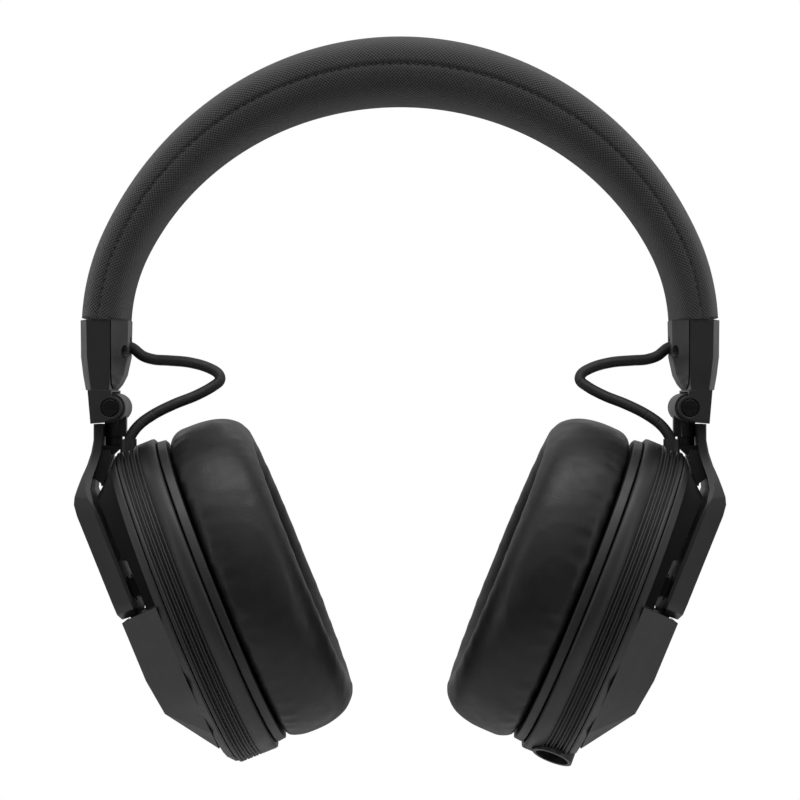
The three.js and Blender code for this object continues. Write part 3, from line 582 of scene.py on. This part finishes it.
SEAM_RISE = 0.8 * MM  # the seam is this far above the middle of the band's thickness
SEAM_DEPTH = 0.6 * MM
SEAM_WIDTH = 0.2 * MM
UPPER_POWER = 2.5  # how square the section's two halves are
LOWER_POWER = 2.7
SLEEVE_OVERLAP = 0.4  # degrees that the sleeve runs on past the band's end


def band_section(thickness, side, count):
    """Half of the band's section as [y, height above the middle] points, from seam to seam."""
    half = thickness / 2
    power = 2 / (UPPER_POWER if side > 0 else LOWER_POWER)
    points = []
    reach = half - side * SEAM_RISE
    for j in range(count + 1):
        turn = math.pi * j / count
        spread = abs(math.cos(turn)) ** power * math.copysign(1, math.cos(turn))
        rise = max(0.0, math.sin(turn)) ** power
        near = math.exp(-((rise * reach) / SEAM_WIDTH) ** 2)
        y = spread * (BAND_HALF_DEPTH - SEAM_DEPTH * near)
        points.append((y, SEAM_RISE + side * reach * rise))
    return points


def make_band_half(name, side, node, count=56, steps=240):
    """One half of the padded sleeve, with its map in millimetres."""
    verts, uvs = [], []
    reach = END_ANGLE + SLEEVE_OVERLAP
    for i in range(steps + 1):
        degrees = -reach + 2 * reach * i / steps
        section = band_section(band_thickness(degrees), side, count)
        along = math.radians(degrees) * ARC_RADIUS / MM
        across = 0.0
        last = section[0]
        for y, rise in section:
            across += math.hypot(y - last[0], rise - last[1]) / MM
            last = (y, rise)
            at = band_point(degrees, band_radius(degrees) + rise, y)
            at.z = max(at.z, BAND_END_Z)
            verts.append(at)
            uvs.append((along, across))
    faces = grid_faces(steps + 1, count + 1, wrap_columns=False)
    # The inner side, which closes the half at the seam's depth
    rim = count + 1
    inner = len(verts)
    for i in range(steps + 1):
        for y_share in (0.9, 0, -0.9):
            at = verts[i * rim].lerp(verts[i * rim + count], 0.5 - y_share / 2)
            verts.append(at)
            uvs.append((0, 0))
    for i in range(steps):
        a, b = i * rim, (i + 1) * rim
        c, d = inner + 3 * i, inner + 3 * (i + 1)
        faces += [(a, b, d, c), (c, d, d + 1, c + 1), (c + 1, d + 1, d + 2, c + 2)]
        faces.append((c + 2, d + 2, b + count, a + count))
    for i in (0, steps):
        ends = [i * rim + j for j in range(rim)]
        faces.append(tuple(ends + [inner + 3 * i + k for k in (2, 1, 0)]))
    obj = piece(name, verts, faces, "headband_fabric")
    layer = obj.data.uv_layers.new(name="weave")
    for loop in obj.data.loops:
        layer.data[loop.index].uv = uvs[loop.vertex_index]
    face_out(obj)
    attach(obj, "headband")
    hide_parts(node)
    return obj


STITCH_PITCH = 2.3 * MM
STITCH_HALF_LENGTH = 0.32 * STITCH_PITCH
STITCH_SINK = 0.30 * MM
STITCH_END_SINK = 0.22 * MM  # how much deeper its ends go
STITCH_SLANT = 0.12 * MM
STITCH_STEPS = (-1, -0.5, 0, 0.5, 1)
STITCH_RADII = [radius * MM for radius in (0.06, 0.15, 0.18, 0.15, 0.06)]
STITCH_SIDES = 6
STITCH_MARGIN = 3  # degrees left without thread, over both ends


def make_stitches():
    """The thread along the seams at the front and the back of the band."""
    verts, faces = [], []
    span = math.radians(2 * END_ANGLE - STITCH_MARGIN) * ARC_RADIUS
    count = int(span / STITCH_PITCH)
    rows = len(STITCH_STEPS)
    for y_side in (-1, 1):
        for k in range(count):
            middle = (k - (count - 1) / 2) * STITCH_PITCH / ARC_RADIUS
            points = []
            for step in STITCH_STEPS:
                turn = math.degrees(middle + step * STITCH_HALF_LENGTH / ARC_RADIUS)
                sink = STITCH_SINK + STITCH_END_SINK * step * step
                radius = band_radius(turn) + SEAM_RISE + STITCH_SLANT * step
                points.append(band_point(turn, radius, y_side * (BAND_HALF_DEPTH - sink)))
            rings = tube_rings(points, STITCH_RADII, STITCH_SIDES)
            start = len(verts)
            end = start + (rows - 1) * STITCH_SIDES
            verts += [v for ring in rings for v in ring]
            faces += [tuple(start + c for c in f) for f in grid_faces(rows, STITCH_SIDES)]
            faces.append(tuple(range(start, start + STITCH_SIDES)))
            faces.append(tuple(reversed(range(end, end + STITCH_SIDES))))
    obj = piece("band_stitches", verts, faces, "headband_fabric")
    layer = obj.data.uv_layers.new(name="weave")
    for loop in obj.data.loops:
        at = obj.data.vertices[loop.vertex_index].co
        layer.data[loop.index].uv = (at.x / MM, at.z / MM)
    face_out(obj)
    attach(obj, "headband")


# ---- Ear cup ----


def oval_ring(name, profile, slot, body, side, replaces, sides=144):
    """A closed profile of [x, inset] points in metres, carried round the cup's outline."""
    verts = []
    for i in range(sides):
        turn = 2 * math.pi * i / sides
        for x, inset in profile:
            y, z = oval(turn, inset)
            verts.append(from_cup((x, y, z), SIDES[side]))
    obj = piece(name, verts, grid_faces(sides, len(profile), True), slot)
    face_out(obj)
    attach(obj, body)
    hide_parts(*replaces)
    return obj


RIB_PITCH = 1.75 * MM
RIB_DEPTH = 1.1 * MM
RIB_WIDTH = 0.7 * MM
FINE_DEPTH = 0.6 * MM
FINE_WIDTH = 0.4 * MM
GROOVE_SLOPE = 0.08 * MM
RIB_COUNT = 3
FIRST_RIB = -4.1 * MM
WALL = 2.6 * MM


def groove(x, width, depth):
    """Four points of the profile that make a groove centred on x."""
    edge, foot = width / 2, width / 2 - GROOVE_SLOPE
    return [(x + edge, 0), (x + foot, depth), (x - foot, depth), (x - edge, 0)]


def rib_profile():
    """The ring's section: deep grooves with a fine line before each, between two plain bands."""
    points = [(RING_START, WALL), (RING_START, 0.5 * MM), (RING_START - 0.2 * MM, 0.12 * MM)]
    points.append((RING_START - 0.5 * MM, 0))
    for k in range(RIB_COUNT + 1):
        x = FIRST_RIB - k * RIB_PITCH
        points += groove(x + RIB_PITCH / 2, FINE_WIDTH, FINE_DEPTH)
        if k < RIB_COUNT:
            points += groove(x, RIB_WIDTH, RIB_DEPTH)
    points += [(RING_END + 0.8 * MM, 0), (RING_END + 0.25 * MM, 0.15 * MM)]
    points += [(RING_END, 0.6 * MM), (RING_END, WALL)]
    return points


SOCKET_SIDE = "left"
SOCKET_MOUTH = Vector((-5.1, -10.9, -44.9)) * MM  # in the cup's frame
SOCKET_LEAN = math.radians(-19)
SOCKET_ROOM = 6 * MM
SOCKET_LENGTH = 8.3 * MM


def cut_for_socket(obj):
    """Opens a piece of the cup round the cable socket."""
    verts, sides = [], 48
    for depth in (-4 * MM, SOCKET_LENGTH):
        for j in range(sides):
            turn = 2 * math.pi * j / sides
            at = Vector((SOCKET_ROOM * math.cos(turn), SOCKET_ROOM * math.sin(turn), depth))
            verts.append(from_cup(Matrix.Rotation(SOCKET_LEAN, 3, "X") @ at + SOCKET_MOUTH))
    faces = grid_faces(2, sides) + [tuple(range(sides)), tuple(reversed(range(sides, 2 * sides)))]
    mesh = bpy.data.meshes.new("socket_room")
    mesh.from_pydata(verts, [], faces)
    tool = bpy.data.objects.new("socket_room", mesh)
    bpy.context.scene.collection.objects.link(tool)
    face_out(tool)
    made = obj.modifiers.new("cut", "BOOLEAN")
    made.operation = "DIFFERENCE"
    made.solver = "EXACT"
    made.object = tool
    apply_modifiers(obj)
    bpy.data.objects.remove(tool)


def make_ribbed_ring(side):
    ring = oval_ring(
        f"ribbed_ring_body_{side}", rib_profile(), "ring_plastic", f"cup_{side}", side,
        [f"ribbed_ring_{side}"],
    )
    if side == SOCKET_SIDE:
        cut_for_socket(ring)


# The ear pad's section: [share of its thickness, share of the way from outline to hole]
PAD_PROFILE = [
    (0.0, 0.20), (0.03, 0.08), (0.10, 0.02), (0.20, -0.02), (0.36, -0.035), (0.55, -0.015),
    (0.72, 0.045), (0.86, 0.15), (0.95, 0.30), (1.0, 0.48), (0.99, 0.64), (0.92, 0.80),
    (0.78, 0.92), (0.55, 0.99), (0.3, 1.0), (0.08, 0.98), (0.0, 0.92),
]
PAD_ROWS = 128
PAD_SHRINK = 0.06  # how much smaller the pad is before it swells
PAD_VOXEL = 2.2 * MM
PAD_INSET = 0.5 * MM
PAD_HOLE = (20.5 * MM, 29 * MM)


def pad_start(side, shrink):
    """The pad before it swells: [verts, faces], a little smaller than it ends."""
    middle_x = PAD_BACK - PAD_THICKNESS * 0.5
    verts = []
    for i in range(PAD_ROWS):
        turn = 2 * math.pi * i / PAD_ROWS
        y0, z0 = oval(turn, PAD_INSET)
        y1, z1 = PAD_HOLE[0] * math.sin(turn), PAD_HOLE[1] * math.cos(turn)
        ym, zm = (y0 + y1) / 2, (z0 + z1) / 2
        for depth, share in PAD_PROFILE:
            x = PAD_BACK - PAD_THICKNESS * depth
            y, z = y0 + (y1 - y0) * share, z0 + (z1 - z0) * share
            keep = 1 - shrink * min(1, depth * 4)
            verts.append(
                from_cup(
                    (
                        middle_x + (x - middle_x) * (keep if x < middle_x else 1),
                        ym + (y - ym) * keep,
                        zm + (z - zm) * keep,
                    ),
                    SIDES[side],
                )
            )
    return verts, grid_faces(PAD_ROWS, len(PAD_PROFILE), True)


def to_cup(point, side):
    """A point of the object's frame, in the ear cup's frame."""
    at = Vector((point.x * side, point.y, point.z)) - CUP_MIDDLE
    return Matrix.Rotation(-CUP_LEAN, 3, "Y") @ at


SWELL_PRESSURE = 3.0
SWELL_LIMIT = 3 * MM  # no point moves further than this
SWELL_FRAMES = 16
HELD_DEPTH = 1.5 * MM


def swell(obj, side):
    """Inflates a pad as cloth, with its back held to the flange."""
    before = [v.co.copy() for v in obj.data.vertices]
    held = obj.vertex_groups.new(name="held")
    for v in obj.data.vertices:
        depth = PAD_BACK - to_cup(v.co, SIDES[side]).x
        if depth < HELD_DEPTH:
            held.add([v.index], 1.0, "REPLACE")
    cloth = obj.modifiers.new("cloth", "CLOTH")
    settings = cloth.settings
    settings.vertex_group_mass = "held"
    settings.use_pressure = True
    settings.uniform_pressure_force = SWELL_PRESSURE
    settings.effector_weights.gravity = 0
    settings.tension_stiffness = 20
    settings.compression_stiffness = 12
    settings.bending_stiffness = 2
    settings.quality = 5
    cloth.point_cache.frame_start = 1
    cloth.point_cache.frame_end = SWELL_FRAMES
    scene = bpy.context.scene
    for step in range(1, SWELL_FRAMES + 1):
        scene.frame_set(step)
    apply_modifiers(obj)
    for v, start in zip(obj.data.vertices, before):
        moved = v.co - start
        if moved.length > SWELL_LIMIT:
            v.co = start + moved.normalized() * SWELL_LIMIT
    scene.frame_set(1)


def make_ear_pad(side):
    """The padded leather ring, swollen as cloth, then creased near its seams."""
    shrink = PAD_SHRINK
    verts, faces = pad_start(side, shrink)
    obj = piece(f"ear_pad_{side}", verts, faces, "pad_leather")
    face_out(obj)
    remesh = obj.modifiers.new("remesh", "REMESH")
    remesh.mode = "VOXEL"
    remesh.voxel_size = PAD_VOXEL
    apply_modifiers(obj)
    swell(obj, side)
    finer = obj.modifiers.new("finer", "SUBSURF")
    finer.levels = 1
    apply_modifiers(obj)
    crease_pad(obj, side)
    obj.data.materials.clear()
    obj.data.materials.append(materials["pad_leather"])
    obj.data.shade_smooth()
    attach(obj, f"cup_{side}")
    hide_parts(f"ear_cushion_{side}")


GATHER_HEIGHT = 0.3 * MM
SLOW_HEIGHT = 0.08 * MM
GATHER_DEPTH = 0.16  # as a share of the pad's thickness
GATHER_SPREAD = 0.13


def crease_pad(obj, side):
    """Small gathers that fade away from the flange, and slow unevenness all over."""
    for v in obj.data.vertices:
        at = to_cup(v.co, SIDES[side])
        depth = (PAD_BACK - at.x) / PAD_THICKNESS
        turn = math.atan2(at.y / CUP_HALF_WIDTH, at.z / CUP_HALF_HEIGHT)
        spread = math.hypot(at.y / CUP_HALF_WIDTH, at.z / CUP_HALF_HEIGHT)
        outer = min(1.0, max(0.0, (spread - 0.8) / 0.12))
        near = math.exp(-(((depth - GATHER_DEPTH) / GATHER_SPREAD) ** 2)) * outer
        gather = noise.noise(Vector((turn * 14, depth * 2.5, SIDES[side] * 5)))
        slow = noise.noise(v.co * 55)
        v.co += v.normal * (GATHER_HEIGHT * near * gather + SLOW_HEIGHT * slow)


# ---- Lights and stage ----


FLOOR_Z = -0.9
FLOOR_RADIUS = 1.3


def make_stage():
    """A round pale floor below the view."""
    sides = 96
    verts = [(0, 0, FLOOR_Z)]
    for j in range(sides):
        turn = 2 * math.pi * j / sides
        verts.append((FLOOR_RADIUS * math.cos(turn), FLOOR_RADIUS * math.sin(turn), FLOOR_Z))
    faces = [(0, 1 + j, 1 + (j + 1) % sides) for j in range(sides)]
    mesh = bpy.data.meshes.new("floor")
    mesh.from_pydata(verts, [], faces)
    floor = bpy.data.objects.new("floor", mesh)
    bpy.context.scene.collection.objects.link(floor)
    s = Shade("floor")
    s.colour(s.ramp(s.noise(s.place(), 3, 2), (0.72, 0.72, 0.72), (0.76, 0.76, 0.76)))
    s.roughness(s.span(s.noise(s.place(), 20, 2), 0.85, 0.95))
    mesh.materials.append(s.material)


def add_light(name, place, target, size, power):
    data = bpy.data.lights.new(name, "AREA")
    data.shape = "RECTANGLE"
    data.size, data.size_y = size
    data.energy = power
    light = bpy.data.objects.new(name, data)
    bpy.context.scene.collection.objects.link(light)
    light.location = place
    aim = Vector(target) - Vector(place)
    light.rotation_euler = aim.to_track_quat("-Z", "Y").to_euler()


# How bright the room is towards the front, towards the back, and how much is added above
ROOM_FRONT = 0.10
ROOM_BACK = 0.45
ROOM_TOP = 0.55
ROOM_BELOW = 0.35  # the share of its brightness that the room keeps far below the object


def make_world():
    """White behind the object as the camera sees it; a dimmer room lights it, darkest in front."""
    world = bpy.data.worlds.new("world")
    world.use_nodes = True
    tree = world.node_tree
    nodes, links = tree.nodes, tree.links
    nodes.clear()
    coords = nodes.new("ShaderNodeTexCoord")
    split = nodes.new("ShaderNodeSeparateXYZ")
    links.new(coords.outputs["Generated"], split.inputs[0])

    def spread(socket, start, end, low, high):
        made = nodes.new("ShaderNodeMapRange")
        made.interpolation_type = "SMOOTHSTEP"
        for key, value in (
            ("From Min", start), ("From Max", end), ("To Min", low), ("To Max", high)
        ):
            made.inputs[key].default_value = value
        links.new(socket, made.inputs["Value"])
        return made.outputs["Result"]

    depth = spread(split.outputs["Y"], -0.9, 0.6, ROOM_FRONT, ROOM_BACK)
    height = spread(split.outputs["Z"], 0.1, 0.9, 0.0, ROOM_TOP)
    below = spread(split.outputs["Z"], -0.5, 0.0, ROOM_BELOW, 1.0)
    level = nodes.new("ShaderNodeMath")
    level.operation = "MULTIPLY"
    links.new(depth, level.inputs[0])
    links.new(below, level.inputs[1])
    total = nodes.new("ShaderNodeMath")
    total.operation = "ADD"
    links.new(level.outputs[0], total.inputs[0])
    links.new(height, total.inputs[1])
    path = nodes.new("ShaderNodeLightPath")
    room = nodes.new("ShaderNodeBackground")
    links.new(total.outputs[0], room.inputs["Strength"])
    seen = nodes.new("ShaderNodeBackground")
    for background in (room, seen):
        background.inputs["Color"].default_value = (1, 1, 1, 1)
    mix = nodes.new("ShaderNodeMixShader")
    links.new(path.outputs["Is Camera Ray"], mix.inputs["Fac"])
    links.new(room.outputs[0], mix.inputs[1])
    links.new(seen.outputs[0], mix.inputs[2])
    output = nodes.new("ShaderNodeOutputWorld")
    links.new(mix.outputs[0], output.inputs["Surface"])
    bpy.context.scene.world = world


LIGHT_TARGET = (0, 0, -0.08)

# Each light's name, place, size and power in watts
LIGHTS = [
    ("key", (0, -0.45, 1.2), (1.3, 0.8), 9.5),
    ("left_strip", (-1.1, -0.55, 0.1), (0.25, 1.3), 2.1),
    ("right_strip", (1.1, -0.55, 0.1), (0.25, 1.3), 2.1),
    ("front_fill", (0, -1.6, 0.9), (1.0, 0.4), 1),
]


def make_lights():
    for name, place, size, power in LIGHTS:
        add_light(name, place, LIGHT_TARGET, size, power)
    bpy.context.scene.view_settings.view_transform = "Standard"


# ---- Everything ----


def finish_plain_nodes():
    """Gives every CAD node that stays in view the material of its slot."""
    slots = {s["node"]: s["material_slot"] for s in frame["record"]["subparts"]}
    for node, obj in frame["nodes"].items():
        if obj.hide_render:
            continue
        obj.data.materials.clear()
        obj.data.materials.append(materials[slots[node]])


CAP_TOP_Z = BAND_END_Z - 0.3 * MM
BLOCK_TOP_Z = CAP_TOP_Z - 19.3 * MM
COLLAR_TOP_Z = -92.1 * MM
COLLAR_BOTTOM_Z = -93.9 * MM
ARM_TOP_Z = -88.5 * MM

# For each hard piece: its material slot, its body, and how its CAD form is refined
HARD_NODES = {
    "end_cap_outer": ("satin_plastic", "headband", {"bevel": 0.5, "lift": CAP_TOP_Z}),
    "end_cap_inner": ("satin_plastic", "headband", {"bevel": 0.4, "lift": CAP_TOP_Z}),
    "fold_block": ("satin_plastic", "slider_", {"bevel": 0.35, "lift": BLOCK_TOP_Z}),
    "fold_knuckle": ("satin_plastic", "knuckle_", {"bevel": 0.3}),
    "fold_pin": ("black_metal", "slider_", {"bevel": 0.25}),
    "swivel_collar": (
        "satin_plastic", "knuckle_", {"bevel": 0.2, "lift": COLLAR_TOP_Z, "drop": COLLAR_BOTTOM_Z}
    ),
    "yoke_arm": ("satin_plastic", "yoke_", {"bevel": 0.45, "flat": 2, "lift": ARM_TOP_Z}),
    "cup_housing": ("satin_plastic", "cup_", {"bevel": 0.35, "angle": 9, "flat": 3}),
    "pad_flange": ("ring_plastic", "cup_", {"bevel": 0.4}),
}


def make_hard_parts(side):
    for node, (slot, body, how) in HARD_NODES.items():
        body = body + side if body.endswith("_") else body
        refined(f"{node}_{side}", slot, body, **how)


materials = make_materials()
make_camera()
for each in SIDES:
    make_link_cable(each)
make_band_half("band_upper_sleeve", 1, "band_top_cover")
make_band_half("band_lower_sleeve", -1, "band_cushion")
make_stitches()
for each in SIDES:
    make_hard_parts(each)
    make_ribbed_ring(each)
    make_ear_pad(each)
finish_plain_nodes()
make_stage()
make_world()
make_lights()
